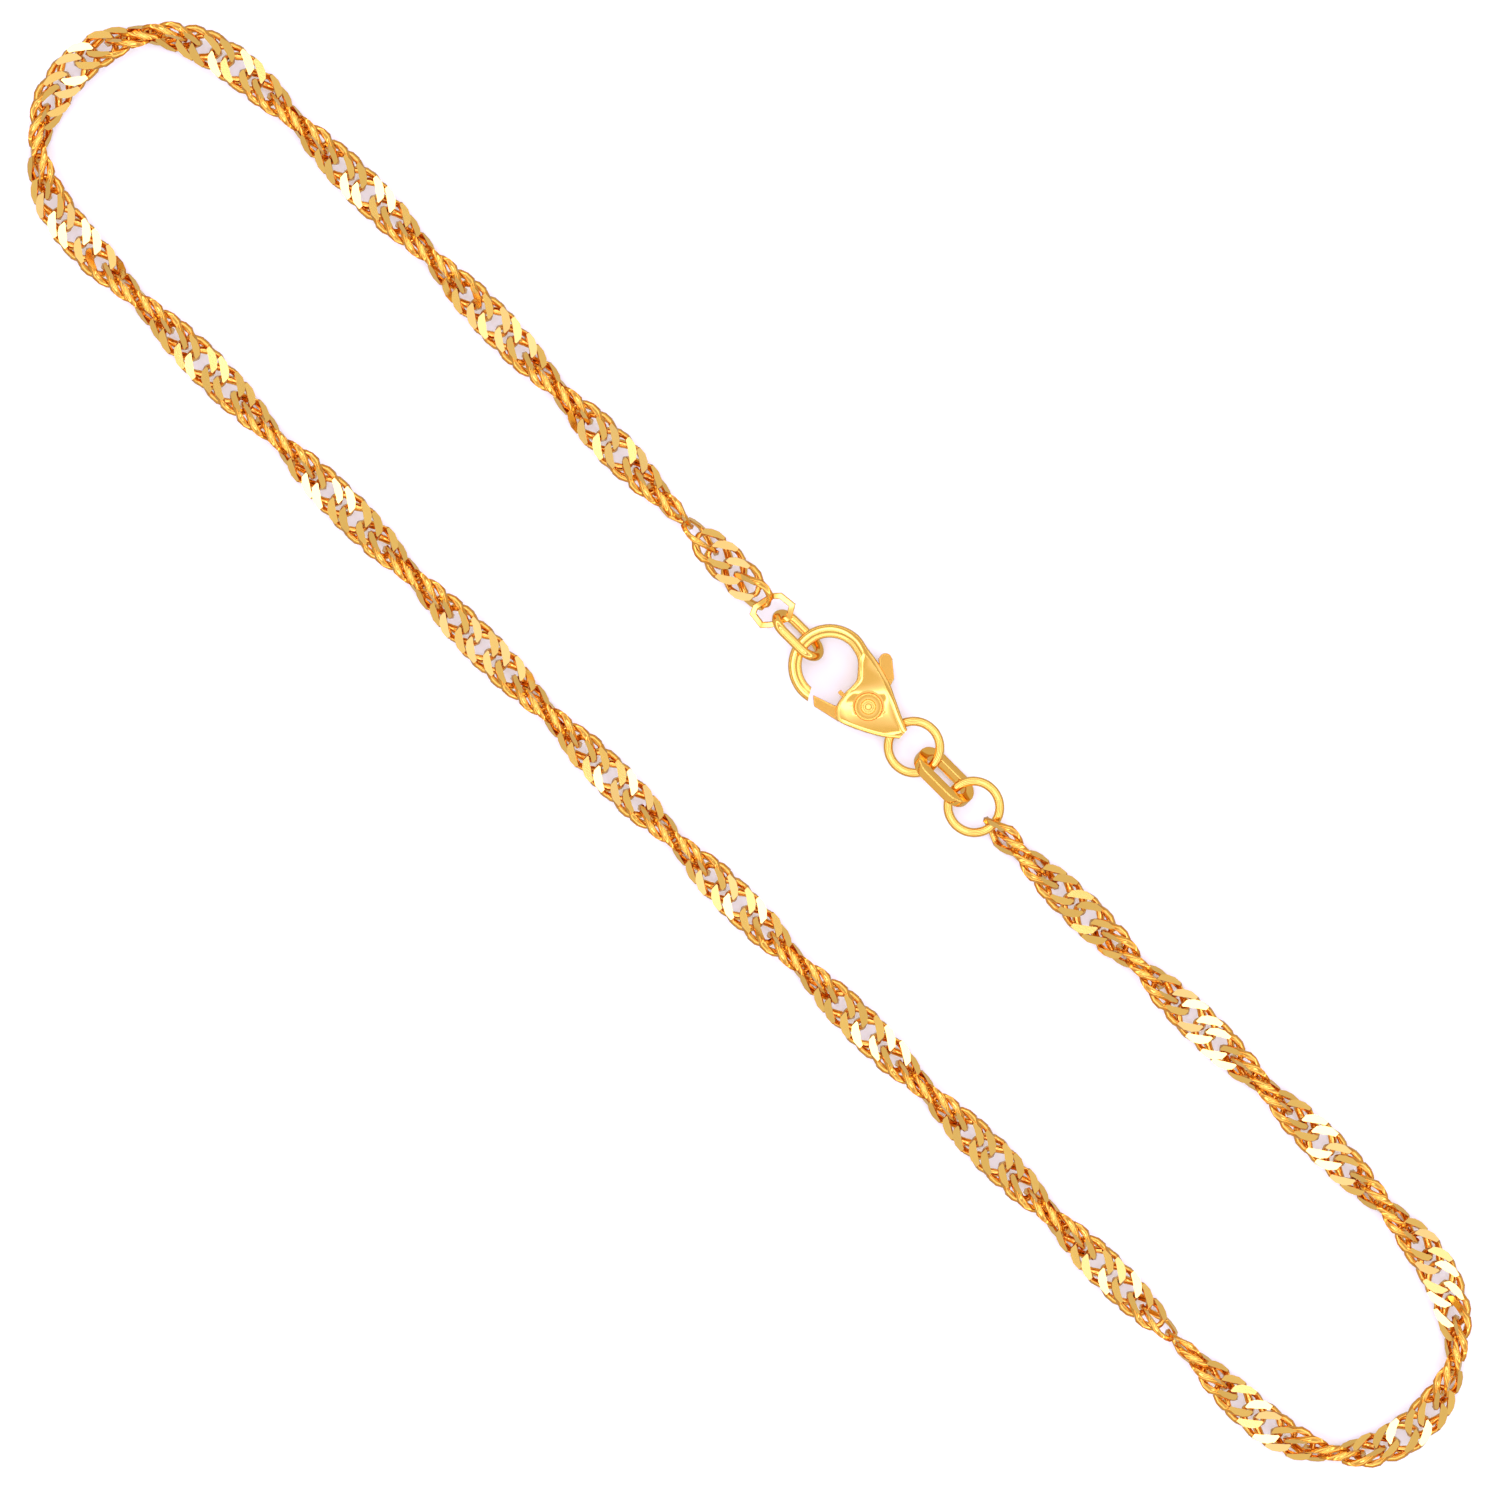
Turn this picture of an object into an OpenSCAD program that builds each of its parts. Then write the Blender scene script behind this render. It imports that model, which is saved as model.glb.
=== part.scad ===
// A necklace: a twisted chain of flat oval links, closed by a lobster clasp.
// It lies as a long loop on a flat surface. All lengths are in millimetres.
// X runs along the loop, Y across it and Z up. The origin is under the middle of the loop.

/* [Whole loop] */
// Length of the lying loop, along the middle of the chain
loop_l = 200; // [194:1:204]
// Width of the lying loop, along the middle of the chain
loop_w = 25; // [24:0.5:28]

/* [Chain links] */
// Outer length of a chain link
link_l = 5.2; // [5:0.05:5.4]
// Outer width of a chain link, which is also the width of the chain
link_w = 4.1; // [3.9:0.05:4.4]
// Width of the link's flat wire, in the plane of the link
link_wire = 0.46; // [0.4:0.01:0.5]
// How far every second link lies nearer to the link before it
pair_shift = 0.19; // [0:0.01:0.3]
// Length of chain in which it makes half a turn
half_turn_l = 19; // [18.8:0.1:20]

/* [End link and connector ring] */
// Outer length of the end link, which lies across the chain
end_link_l = 4.6; // [4.5:0.05:5]
// Outer width of the end link
end_link_w = 4; // [3.9:0.05:4.2]
// Width of the end link's wire, in the plane of the link
end_link_wire = 0.56; // [0.46:0.02:0.6]
// Thickness of the end link's wire
end_link_t = 0.5; // [0.4:0.02:0.54]
// Slope of the end link, in degrees from the surface
end_link_slope = 10; // [4:1:14]
// Outer length of the oval connector ring
connector_l = 6.9; // [6.5:0.1:7.5]
// Outer width of the oval connector ring
connector_w = 4.25; // [4.2:0.05:4.6]
// Diameter of the connector ring's wire
connector_wire = 1.05; // [0.9:0.05:1.05]
// Slope of the connector ring, in degrees from the surface
connector_slope = 59; // [58:1:64]

/* [Clasp] */
// Radius of the hook's hole
hook_r = 2.95; // [2.8:0.05:3.2]
// Width of the hook's bar, seen from above
hook_w = 1.45; // [1.2:0.05:1.6]
// Height of the hook's bar
hook_h = 1.45; // [1.2:0.05:1.45]
// Length from the middle of the hook's hole to the clasp's tip
tip_reach = 10.6; // [10.2:0.1:11.4]
// Thickness of the clasp at its rivet
clasp_t = 3.6; // [3.4:0.1:3.8]
// Radius of the crowned faces of the clasp
crown_r = 14; // [13:0.5:18]
// Wall left at the tip, outside the jump ring
tip_wall = 0.46; // [0.4:0.02:0.6]

/* [Lever] */
// Thickness of the lever
lever_t = 1.3; // [1:0.05:1.4]
// Radius of the rivet's shank
rivet_r = 0.6; // [0.5:0.05:0.7]
// Radius of the rivet's head
rivet_head_r = 0.85; // [0.75:0.05:1]
// Radius of the recess round the rivet's head
recess_r = 1.55; // [1.4:0.05:1.7]
// Depth of that recess
recess_d = 0.35; // [0.25:0.05:0.45]
// Side of the spring's square end
spring_end_t = 0.45; // [0.35:0.05:0.5]

/* [Jump rings and heavy link] */
// Outer diameter of the two jump rings
ring_d = 6.45; // [6.2:0.05:6.8]
// Diameter of their wire
ring_wire = 0.97; // [0.85:0.01:1]
// Tilt of the jump rings, in degrees from the surface
ring_tilt = 12; // [12:1:17]
// Outer length of the heavy link
oval_l = 7.43; // [7.2:0.05:8]
// Outer width of the heavy link
oval_w = 4.25; // [4.2:0.05:4.5]
// Side of the heavy link's square wire
oval_wire = 1.08; // [0.95:0.01:1.08]
// Slope of the heavy link, in degrees from the surface
oval_slope = 50; // [50:1:57]

/* [Fits] */
// Room for bending between two links that cross, on a straight stretch
link_room = 0.285; // [0.28:0.005:0.33]
// Play between two small pieces that hang in each other
hang_gap = 0.28; // [0.26:0.01:0.36]
// Play between the heavy link and a jump ring
heavy_gap = 0.45; // [0.42:0.01:0.6]
// Room round the jump ring in the clasp's tip
tip_gap = 0.12; // [0.1:0.01:0.2]
// Room between the lever and each side of its slot
lever_gap = 0.1; // [0.08:0.01:0.2]
// Running clearance of the lever on the rivet
rivet_gap = 0.05; // [0.02:0.01:0.08]

/* [Hidden] */
$fn = 48;
gold = "goldenrod";
pale_gold = "gold";

// The chain's route on the surface, from the connector ring, round the left end and back
// along the other side and round the right end to the last jump ring. The route is a smooth
// curve that starts and ends at the outer points and leans on the ones between. Columns:
// share of half the loop's length, share of half its width.
route_shape = [
    [-0.085, 0.92], [-0.26, 0.928], [-0.44, 0.96], [-0.62, 0.992], [-0.78, 0.992], [-0.9, 0.992],
    [-0.966, 0.744], [-1, 0.32], [-1.006, -0.152], [-0.985, -0.6], [-0.936, -0.944],
    [-0.86, -1.024], [-0.75, -0.992], [-0.58, -1.008], [-0.4, -1.016], [-0.22, -1.024],
    [-0.04, -1.032], [0.14, -1.024], [0.32, -1.024], [0.5, -1.016], [0.68, -1.024],
    [0.82, -1.016], [0.91, -1], [0.968, -0.752], [1, -0.368], [1.006, 0.12], [0.978, 0.64],
    [0.908, 0.992], [0.824, 1.008], [0.736, 1.024], [0.597, 1], [0.458, 0.984], [0.33, 0.96],
    [0.234, 0.944]];
chain_route = [for (p = route_shape) [p[0] * loop_l / 2, p[1] * loop_w / 2]];
// Where along the route the links stand upright, so that the chain looks narrow from above,
// as shares of the loop's length. Between two of these places the chain makes half a turn.
long_waists = [0.158, 0.258, 0.357, 0.45, 0.539, 0.639, 0.743, 0.8445, 0.945, 1.039, 1.13,
    1.226, 1.318];
last_waists = [1.515, 1.603, 1.694, 1.783, 1.875];
// Where the long stretch ends, as a share of the loop's length.
long_end_place = 1.3955;

route_last = len(chain_route) - 1;
span_steps = 12;
// The points with one more beyond each end, so that the curve reaches the outer points.
handles = concat([2 * chain_route[0] - chain_route[1]], chain_route,
    [2 * chain_route[route_last] - chain_route[route_last - 1]]);
// A point of the cubic curve between handles i + 1 and i + 2, at the share t of the way.
function span_point(i, t) = (
    (1 - t) ^ 3 * handles[i]
    + (3 * t ^ 3 - 6 * t ^ 2 + 4) * handles[i + 1]
    + (-3 * t ^ 3 + 3 * t ^ 2 + 3 * t + 1) * handles[i + 2]
    + t ^ 3 * handles[i + 3]) / 6;
fine_route = [for (i = [0:route_last - 1], k = [0:span_steps - 1]) span_point(i, k / span_steps),
    chain_route[route_last]];
fine_last = len(fine_route) - 1;
fine_step = [for (i = [0:fine_last - 1]) norm(fine_route[i + 1] - fine_route[i])];
fine_dist = [for (i = 0, d = 0; i <= fine_last; d = d + (i < fine_last ? fine_step[i] : 0),
    i = i + 1) d];
route_l = fine_dist[fine_last];
route_x = [for (i = [0:fine_last]) [fine_dist[i], fine_route[i][0]]];
route_y = [for (i = [0:fine_last]) [fine_dist[i], fine_route[i][1]]];
function route_at(s) = [lookup(s, route_x), lookup(s, route_y)];

// The pitch follows from the links: the next link but one sits in this share of the hole's
// half width beyond the round end. The wire is as thick as the turn between two links allows.
nest = 0.85;
link_hole = link_w / 2 - link_wire;
link_pitch = (link_l - link_w) / 2 + nest * link_hole;
link_turn = 180 * link_pitch / half_turn_l;
link_t = 2 * link_hole * tan(link_turn / 2) - link_room;

// Where the pieces of the clasp line stand, from the clasp's hook outwards.
ring_r = (ring_d - ring_wire) / 2;
hook_out_r = hook_r + hook_w;
hook_x = 0.2;
hook_y = 0.928 * loop_w / 2;
near_y = route_shape[0][1] * loop_w / 2;
far_y = 0.9456 * loop_w / 2;
hook_slack = 0.7;
connector_x = hook_x - hook_r + hook_slack - connector_l / 2 + connector_wire;
end_link_x = connector_x - connector_l / 2 + connector_wire + hang_gap + end_link_wire - end_link_w / 2;
first_link_x = end_link_x - end_link_w / 2 + end_link_wire + link_wire + hang_gap - link_l / 2;
tip_x = hook_x + tip_reach;
tip_hole_r = ring_wire / 2 + tip_gap;
ring_a_x = tip_x - tip_wall - tip_hole_r + ring_r;
oval_x = ring_a_x + ring_r - ring_wire / 2 - heavy_gap + oval_l / 2 - oval_wire;
ring_b_x = oval_x + oval_l / 2 - oval_wire - heavy_gap + ring_r - ring_wire / 2;
last_link_x = ring_b_x + ring_r - ring_wire / 2 - hang_gap - link_wire + link_l / 2;

// Heights above the surface.
chain_z = link_w / 2;
oval_z = (oval_w * sin(oval_slope) + oval_wire * cos(oval_slope)) / 2;
connector_z = (connector_w - connector_wire) / 2 * sin(connector_slope) + connector_wire / 2;
line_z = max(oval_z, connector_z, clasp_t / 2);

// The chain's three stretches. The twist changes hand at the end of the first and of the
// second, where one link place stays free and the two links beside it still interlock. The
// few links of the first stretch turn faster than the others.
upright = 90;
short_links = 5;
short_turn = 32;
hand_gap = 2 * link_pitch;
first_place = chain_route[0][0] - first_link_x;
first_end = first_place + (short_links - 1) * link_pitch;
long_start = first_end + hand_gap;
long_end = long_end_place * loop_l;
last_start = long_end + hand_gap;
last_place = route_l - (last_link_x - chain_route[route_last][0]);
last_turn = 30;
first_turns = [[first_place, upright - link_turn - (short_links - 1) * short_turn],
    [first_end, upright - link_turn]];
long_turns = concat([[long_start, upright + link_turn]],
    [for (i = [0:len(long_waists) - 1]) [long_waists[i] * loop_l, upright - 180 * (i + 1)]],
    [[long_end, upright - 180 * (len(long_waists) + 1) + link_turn]]);
last_turns = concat([[last_start, upright - link_turn]],
    [for (i = [0:len(last_waists) - 1]) [last_waists[i] * loop_l, upright + 180 * (i + 1)]],
    [[last_place, upright + 180 * (len(last_waists) + 1) + last_turn]]);

// The clasp's outline, going round from the hook to the tip and back. Columns: share of
// the reach from the middle of the hook's hole to the tip, share of the hook's outer radius.
body_shape = [
    [0.05, 0.97], [0.14, 0.94], [0.32, 0.885], [0.52, 0.745], [0.675, 0.58], [0.865, 0.36],
    [0.99, 0.23], [1, -0.07], [0.87, -0.31], [0.65, -0.56], [0.46, -0.8], [0.36, -0.76],
    [0.31, -0.52], [0.25, 0], [0.1, 0.6]];
// The slot that the lever swings in, the lever's gate and its trigger, in the same columns.
slot_shape = [
    [0.17, -1.1], [0.17, -0.2], [0.37, 0.08], [0.41, 0.45], [0.27, 0.82], [0.27, 1.2],
    [0.77, 1.2], [0.77, -1.1]];
gate_shape = [
    [0.084, -0.775], [0.172, -0.95], [0.445, -0.8], [0.65, -0.24], [0.556, -0.04],
    [0.43, 0.05], [0.32, -0.58]];
trigger_shape = [
    [0.29, 0.94], [0.392, 1.165], [0.54, 0.87], [0.64, 0.1], [0.48, 0.05], [0.44, 0.62]];
knob_place = [0.346, 1.045];
knob_r = 0.68;
rivet_place = [0.556, -0.045];
hub_r = 1.4;
hook_bevel = 0.4;
hook_root_angle = 20;
hook_end_angle = 279.5;
spring_end_place = [0.242, -0.275];
spring_end_l = 1.1;
spring_end_in = 0.06;
head_rise = 0.12;
function on_clasp(share) = [share[0] * tip_reach, share[1] * hook_out_r];
rivet_xy = on_clasp(rivet_place);
spring_xy = on_clasp(spring_end_place);
slot_t = lever_t + 2 * lever_gap;

module oval_outline(l, w) {
    for (side = [-1, 1]) translate([side * (l - w) / 2, 0]) circle(d = w);
    square([l - w, w], center = true);
}

module flat_ring(l, w, wire, t) {
    linear_extrude(height = t, center = true) difference() {
        oval_outline(l, w);
        oval_outline(l - 2 * wire, w - 2 * wire);
    }
}

// One link on the route at distance s, turned about the chain's own line.
module link_at(s, turn) {
    here = route_at(s);
    ahead = route_at(s + link_pitch) - route_at(s - link_pitch);
    translate([here[0], here[1], chain_z])
        rotate([0, 0, atan2(ahead[1], ahead[0])])
        rotate([turn, 0, 0])
        flat_ring(link_l, link_w, link_wire, link_t);
}

// An even stretch of links from one place to another. Each second one is shifted back, but
// not the one at the end.
module stretch(start, end, turns) {
    gaps = round((end - start) / link_pitch);
    step = (end - start) / gaps;
    for (i = [0:gaps]) {
        back = i < gaps ? (i % 2) * pair_shift : 0;
        link_at(start + i * step - back, lookup(start + i * step, turns));
    }
}

module chain() {
    color(gold) {
        stretch(first_place, first_end, first_turns);
        stretch(long_start, long_end, long_turns);
        stretch(last_start, last_place, last_turns);
    }
}

// The end link lies across the chain, with its far side raised.
module chain_end_link() {
    color(pale_gold) translate([end_link_x, near_y, line_z])
        rotate([end_link_slope, 0, 0])
        rotate([0, 0, 90])
        flat_ring(end_link_l, end_link_w, end_link_wire, end_link_t);
}

// An oval ring of round wire, lying flat: two half rings and two straight bars.
module round_oval(l, w, wire) {
    bend = (w - wire) / 2;
    half = (l - w) / 2;
    for (side = [-1, 1]) {
        translate([side * half, 0, 0])
            rotate([0, 0, -90 * side])
            rotate_extrude(angle = 180)
            translate([bend, 0]) circle(d = wire);
        translate([-half, side * bend, 0])
            rotate([0, 90, 0])
            cylinder(d = wire, h = 2 * half);
    }
}

module connector_ring() {
    color(gold) translate([connector_x, near_y, line_z])
        rotate([-connector_slope, 0, 0])
        round_oval(connector_l, connector_w, connector_wire);
}

module oval_link() {
    color(gold) translate([oval_x, far_y, line_z])
        rotate([-oval_slope, 0, 0])
        flat_ring(oval_l, oval_w, oval_wire, oval_wire);
}

module jump_ring(wire) {
    rotate([ring_tilt, 0, 0])
        rotate_extrude() translate([ring_r, 0]) circle(d = wire);
}

module jump_ring_a() {
    color(gold) translate([ring_a_x, far_y, line_z]) jump_ring(ring_wire);
}

module jump_ring_b() {
    color(gold) translate([ring_b_x, far_y, line_z]) jump_ring(ring_wire);
}

// A bar's section with bevelled corners.
module bevelled_section(w, h, bevel) {
    polygon([
        [-w / 2 + bevel, -h / 2], [w / 2 - bevel, -h / 2], [w / 2, -h / 2 + bevel],
        [w / 2, h / 2 - bevel], [w / 2 - bevel, h / 2], [-w / 2 + bevel, h / 2],
        [-w / 2, h / 2 - bevel], [-w / 2, -h / 2 + bevel]]);
}

module hook() {
    rotate([0, 0, hook_root_angle])
        rotate_extrude(angle = hook_end_angle - hook_root_angle)
        translate([hook_r + hook_w / 2, 0])
        bevelled_section(hook_w, hook_h, hook_bevel);
}

module plate(points, height) {
    linear_extrude(height = height, center = true)
        polygon([for (p = points) on_clasp(p)]);
}

// The body's plate, crowned on both faces like a lens, with the hook's hole through it.
module body_plate() {
    difference() {
        intersection() {
            plate(body_shape, clasp_t);
            translate([rivet_xy[0], rivet_xy[1], crown_r - clasp_t / 2]) sphere(r = crown_r);
            translate([rivet_xy[0], rivet_xy[1], clasp_t / 2 - crown_r]) sphere(r = crown_r);
        }
        cylinder(r = hook_r, h = 2 * clasp_t, center = true);
    }
}

// The spring's end stands a little out of the upper cheek, into the hook's hole.
module spring_bar() {
    translate([spring_xy[0], spring_xy[1] - spring_end_t / 2, slot_t / 2 + spring_end_in])
        cube([spring_end_l, spring_end_t, spring_end_t]);
}

module clasp_body() {
    color(gold) translate([hook_x, hook_y, line_z]) difference() {
        union() {
            hook();
            body_plate();
        }
        plate(slot_shape, slot_t);
        translate([rivet_xy[0], rivet_xy[1], 0]) {
            cylinder(r = rivet_r, h = 2 * clasp_t, center = true);
            for (side = [-1, 1]) translate([0, 0, side * (clasp_t - recess_d)])
                cylinder(r = recess_r, h = clasp_t, center = true);
        }
        translate([ring_a_x - hook_x, far_y - hook_y, 0]) jump_ring(2 * tip_hole_r);
        spring_bar();
    }
}

module clasp_lever() {
    color(pale_gold) translate([hook_x, hook_y, line_z]) difference() {
        union() {
            plate(gate_shape, lever_t);
            plate(trigger_shape, lever_t);
            translate(on_clasp(knob_place)) cylinder(r = knob_r, h = lever_t, center = true);
            translate(rivet_xy) cylinder(r = hub_r, h = lever_t, center = true);
        }
        translate(rivet_xy) cylinder(r = rivet_r + rivet_gap, h = 2 * lever_t, center = true);
    }
}

module clasp_rivet() {
    shank_l = clasp_t - 2 * recess_d;
    color(pale_gold) translate([hook_x + rivet_xy[0], hook_y + rivet_xy[1], line_z]) {
        cylinder(r = rivet_r, h = shank_l, center = true);
        for (side = [0, 180]) rotate([side, 0, 0]) translate([0, 0, shank_l / 2]) {
            cylinder(r = rivet_head_r, h = recess_d - head_rise);
            translate([0, 0, recess_d - head_rise])
                cylinder(r1 = rivet_head_r, r2 = rivet_r, h = head_rise);
        }
    }
}

module spring_end() {
    color(pale_gold) translate([hook_x, hook_y, line_z]) spring_bar();
}

chain();
chain_end_link();
connector_ring();
clasp_body();
clasp_lever();
clasp_rivet();
spring_end();
jump_ring_a();
oval_link();
jump_ring_b();
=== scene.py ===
"""The looks of a gold necklace: a twisted chain of flat-cut links, closed by a lobster clasp.

Every length below is in millimetres until mm() turns it into metres. Sizes that the source of
the solids also has are repeated here under the same names.
"""
import math
import bmesh
import bpy
import numpy as np
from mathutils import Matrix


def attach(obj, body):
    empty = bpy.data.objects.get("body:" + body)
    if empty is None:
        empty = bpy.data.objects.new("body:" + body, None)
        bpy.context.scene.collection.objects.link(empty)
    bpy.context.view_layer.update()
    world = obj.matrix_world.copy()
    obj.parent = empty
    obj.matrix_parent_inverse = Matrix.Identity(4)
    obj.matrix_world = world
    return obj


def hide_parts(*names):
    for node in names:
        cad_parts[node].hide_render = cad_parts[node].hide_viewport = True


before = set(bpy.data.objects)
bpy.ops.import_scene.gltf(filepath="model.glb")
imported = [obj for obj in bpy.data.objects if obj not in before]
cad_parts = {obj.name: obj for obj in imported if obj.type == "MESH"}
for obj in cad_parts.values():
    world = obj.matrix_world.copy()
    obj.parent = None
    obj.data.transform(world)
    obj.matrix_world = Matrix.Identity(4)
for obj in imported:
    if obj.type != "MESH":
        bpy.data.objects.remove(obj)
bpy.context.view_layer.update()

TURN = 2 * math.pi
MM = 0.001


def mm(points):
    """Millimetres to metres."""
    return np.asarray(points, dtype=float) * MM


# Camera: straight above on a long lens, turned so that the necklace lies from corner to corner.
VIEW_WIDTH = 157.5
VIEW_CENTRE = (0.516, -0.576, 2.0)
VIEW_TURN = 45
LENS = 250.0
SENSOR = 36.0
CLIP_END = 10.0

camera_data = bpy.data.cameras.new("camera")
camera_data.lens = LENS
camera_data.sensor_width = SENSOR
camera_data.clip_end = CLIP_END
camera = bpy.data.objects.new("camera", camera_data)
camera.location = mm(VIEW_CENTRE) + mm((0, 0, VIEW_WIDTH * LENS / SENSOR))
camera.rotation_euler = (0, 0, math.radians(VIEW_TURN))
bpy.context.collection.objects.link(camera)
bpy.context.scene.camera = camera
bpy.context.scene.view_settings.view_transform = "Standard"


# Materials.
def linear(hex_colour):
    """An sRGB hex colour as linear RGBA: ((c + 0.055) / 1.055) ^ 2.4, or c / 12.92 near black."""
    c = np.array([int(hex_colour[i:i + 2], 16) for i in (1, 3, 5)]) / 255
    c = np.where(c > 0.04045, ((c + 0.055) / 1.055) ** 2.4, c / 12.92)
    return (*c.tolist(), 1.0)


def add(tree, kind, settings=None, **links):
    """Adds a node. Settings are its own values; links give each input a value or another socket,
    by the input's name, or by _ and its number."""
    node = tree.nodes.new(kind)
    for name, value in (settings or {}).items():
        setattr(node, name, value)
    for name, value in links.items():
        key = int(name[1:]) if name[1:].isdigit() else name.replace("_", " ")
        socket = node.inputs[key]
        if isinstance(value, bpy.types.NodeSocket):
            tree.links.new(value, socket)
        else:
            socket.default_value = value
    return node


def new_material(name):
    """An empty material with its output, and its node tree."""
    made = bpy.data.materials.new(name)
    made.use_nodes = True
    made.node_tree.nodes.clear()
    return made, made.node_tree


# Shared by all the golds: the width of the mottle, the detail and roughness of mottle and grain,
# how strongly the grain dents, and how much of the mottle shows on a cut face.
MOTTLE_MM = 2.5
MOTTLE_LOOK = dict(Detail=3.0, Roughness=0.6)
GRAIN_LOOK = dict(Detail=2.0, Roughness=0.5)
GRAIN_STRENGTH = 0.4
CUT_MOTTLE = 0.25


def gold_material(name, face, deep, polish, dull, grain_mm, grain_depth, painted_rim_shade=None):
    """Yellow gold alloy, a metal all through. Its colour goes from face to deep and its roughness
    from polish to dull by a slow mottle. Where a rim colour is given, the faces that the cut
    attribute doesn't mark take the deep colour and the dull roughness whole, and the cut faces keep
    only a part of the mottle; the deep colour on the uncut wire is painted shade. The edges beside
    the cut faces, which the rim attribute marks, take the rim colour, a darker painted shade.
    A fine grain of the given width dents it by grain_depth millimetres."""
    made, tree = new_material(name)
    place = add(tree, "ShaderNodeTexCoord").outputs["Object"]
    mottle = add(tree, "ShaderNodeTexNoise", Vector=place, Scale=1 / (MOTTLE_MM * MM),
                 **MOTTLE_LOOK).outputs["Fac"]
    grain = add(tree, "ShaderNodeTexNoise", Vector=place, Scale=1 / (grain_mm * MM),
                **GRAIN_LOOK).outputs["Fac"]
    share = mottle
    if painted_rim_shade:
        cut = add(tree, "ShaderNodeAttribute", dict(attribute_name="cut")).outputs["Fac"]
        painted_rim_mask = add(tree, "ShaderNodeAttribute", dict(attribute_name="painted_rim_shade")).outputs["Fac"]
        # Faces that aren't cut take the deep colour whole, as painted shade on the uncut wire; cut
        # faces take only a quarter of the mottle, a tone that differs at random.
        uncut = add(tree, "ShaderNodeMath", dict(operation="SUBTRACT"), _0=1.0, _1=cut).outputs[0]
        worn = add(tree, "ShaderNodeMath", dict(operation="MULTIPLY"),
                   _0=mottle, _1=CUT_MOTTLE).outputs[0]
        share = add(tree, "ShaderNodeMath", dict(operation="ADD", use_clamp=True),
                    _0=uncut, _1=worn).outputs[0]
    colour = add(tree, "ShaderNodeMix", dict(data_type="RGBA"),
                 _0=share, _6=linear(face), _7=linear(deep)).outputs[2]
    # Painted shade: the uncut edges beside the cut faces take the rim colour, a darker orange.
    if painted_rim_shade:
        edge = add(tree, "ShaderNodeMath", dict(operation="MULTIPLY"), _0=painted_rim_mask, _1=uncut).outputs[0]
        colour = add(tree, "ShaderNodeMix", dict(data_type="RGBA"),
                     _0=edge, _6=colour, _7=linear(painted_rim_shade)).outputs[2]
    rough = add(tree, "ShaderNodeMapRange", Value=share, To_Min=polish, To_Max=dull).outputs[0]
    bump = add(tree, "ShaderNodeBump", Height=grain, Strength=GRAIN_STRENGTH,
               Distance=grain_depth * MM).outputs[0]
    shader = add(tree, "ShaderNodeBsdfPrincipled", Base_Color=colour, Metallic=1.0,
                 Roughness=rough, Normal=bump)
    add(tree, "ShaderNodeOutputMaterial", Surface=shader.outputs[0])
    return made


# Diamond-cut yellow gold: the cut faces are bright and smooth, and the wire between them is
# slightly duller and painted a deeper orange as painted shade, with a darker orange painted shade
# on its edges beside the cut faces.
cut_gold = gold_material("diamond_cut_yellow_gold", face="#FACE74", deep="#F0B352",
                         polish=0.04, dull=0.1, grain_mm=0.12, grain_depth=0.002, painted_rim_shade="#DA8A2C")
# Tumble-polished yellow gold: even and bright, with a faint mottle from the polishing.
polished_gold = gold_material("tumble_polished_yellow_gold", face="#F7C566", deep="#F0B450",
                              polish=0.05, dull=0.1, grain_mm=0.15, grain_depth=0.001)
# Cast yellow gold left as it came from the blasting: the lever's flat sides look matt.
satin_gold = gold_material("satin_cast_yellow_gold", face="#F2BC60", deep="#E8A84A",
                           polish=0.1, dull=0.16, grain_mm=0.08, grain_depth=0.002)


# Meshes from grids.
def grid_faces(rows, columns):
    """Faces of a grid of rows by columns that is closed both ways."""
    i, j = np.meshgrid(np.arange(rows), np.arange(columns), indexing="ij")
    i2, j2 = (i + 1) % rows, (j + 1) % columns
    corners = [i * columns + j, i2 * columns + j, i2 * columns + j2, i * columns + j2]
    return np.stack(corners, -1).reshape(-1, 4)


def shade_smooth(mesh):
    """Smooth shading for all faces."""
    mesh.polygons.foreach_set("use_smooth", np.ones(len(mesh.polygons), dtype=bool))


def new_object(name, points, faces):
    """A smooth-shaded object at the origin from points in millimetres and lists of faces."""
    mesh = bpy.data.meshes.new(name)
    mesh.from_pydata(mm(points).tolist(), [], [face for group in faces for face in group.tolist()])
    shade_smooth(mesh)
    made = bpy.data.objects.new(name, mesh)
    bpy.context.collection.objects.link(made)
    return made


def in_place_of(node, piece, body):
    """The piece rides on its body and is shown in place of the solid node."""
    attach(piece, body)
    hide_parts(node)


def new_piece(name, points, faces, material, node):
    """A piece of the necklace from points in millimetres and lists of faces."""
    piece = new_object(name, points, faces)
    piece.data.materials.append(material)
    in_place_of(node, piece, "necklace")
    return piece


# The chain: the flat link of the solids, how far each link nests in the last, and the length of
# half a turn of the ribbon.
LINK_L = 5.2
LINK_W = 4.1
LINK_WIRE = 0.46
NEST = 0.85
HALF_TURN_L = 19.0
HALF_TURN = 180
LINK_HOLE = LINK_W / 2 - LINK_WIRE
LINK_PITCH = (LINK_L - LINK_W) / 2 + NEST * LINK_HOLE
LINK_TURN = HALF_TURN * LINK_PITCH / HALF_TURN_L
CHAIN_Z = LINK_W / 2
# Every second link is moved back by PAIR_SHIFT, less so over the last FADE_LINKS of a row.
PAIR_SHIFT = 0.36
FADE_LINKS = 4
LOOP_L = 200.0
LOOP_W = 25.0
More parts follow.
